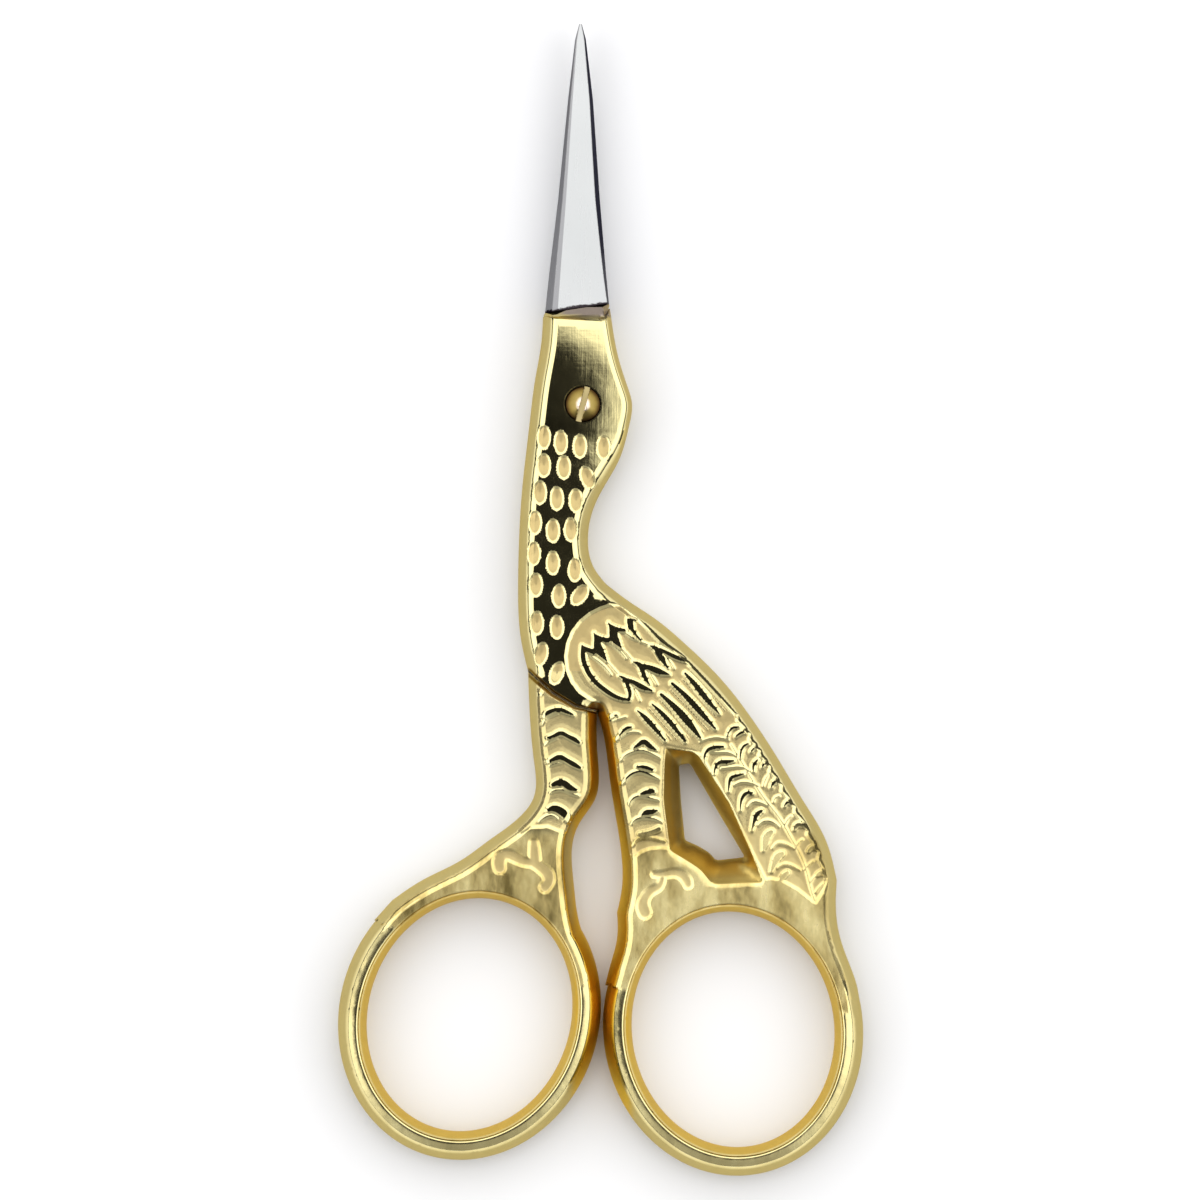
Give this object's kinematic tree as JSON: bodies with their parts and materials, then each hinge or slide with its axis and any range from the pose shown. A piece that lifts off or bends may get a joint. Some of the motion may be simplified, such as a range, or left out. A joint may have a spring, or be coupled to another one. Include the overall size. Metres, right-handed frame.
{
  "type": "embroidery scissors",
  "caption": "Stork-shaped embroidery scissors: two gold-plated forged halves with bare steel blades turning on a slotted pivot screw.",
  "frame": {"origin": "on the pivot screw's axis, in the plane of the back faces that the scissors lie on", "axes": "+Y from the screw to the blade tips, +Z out of the front face, +X towards the bird's back and tail"},
  "size_m": [0.0412, 0.0903, 0.0046],
  "materials": {
    "blade_steel": "satin",
    "gold_plating": "polished",
    "screw_brass": "polished"
  },
  "bodies": {
    "front_half": {"front_blade": "blade_steel", "front_handle": "gold_plating"},
    "rear_half": {"rear_blade": "blade_steel", "rear_handle": "gold_plating", "pivot_screw": "screw_brass"}
  },
  "joints": [
    {"name": "scissor_pivot", "type": "hinge", "parent": "front_half", "child": "rear_half", "pos_m": [0, 0, 0], "axis": [0, 0, -1], "range_deg": [0, 60]}
  ]
}
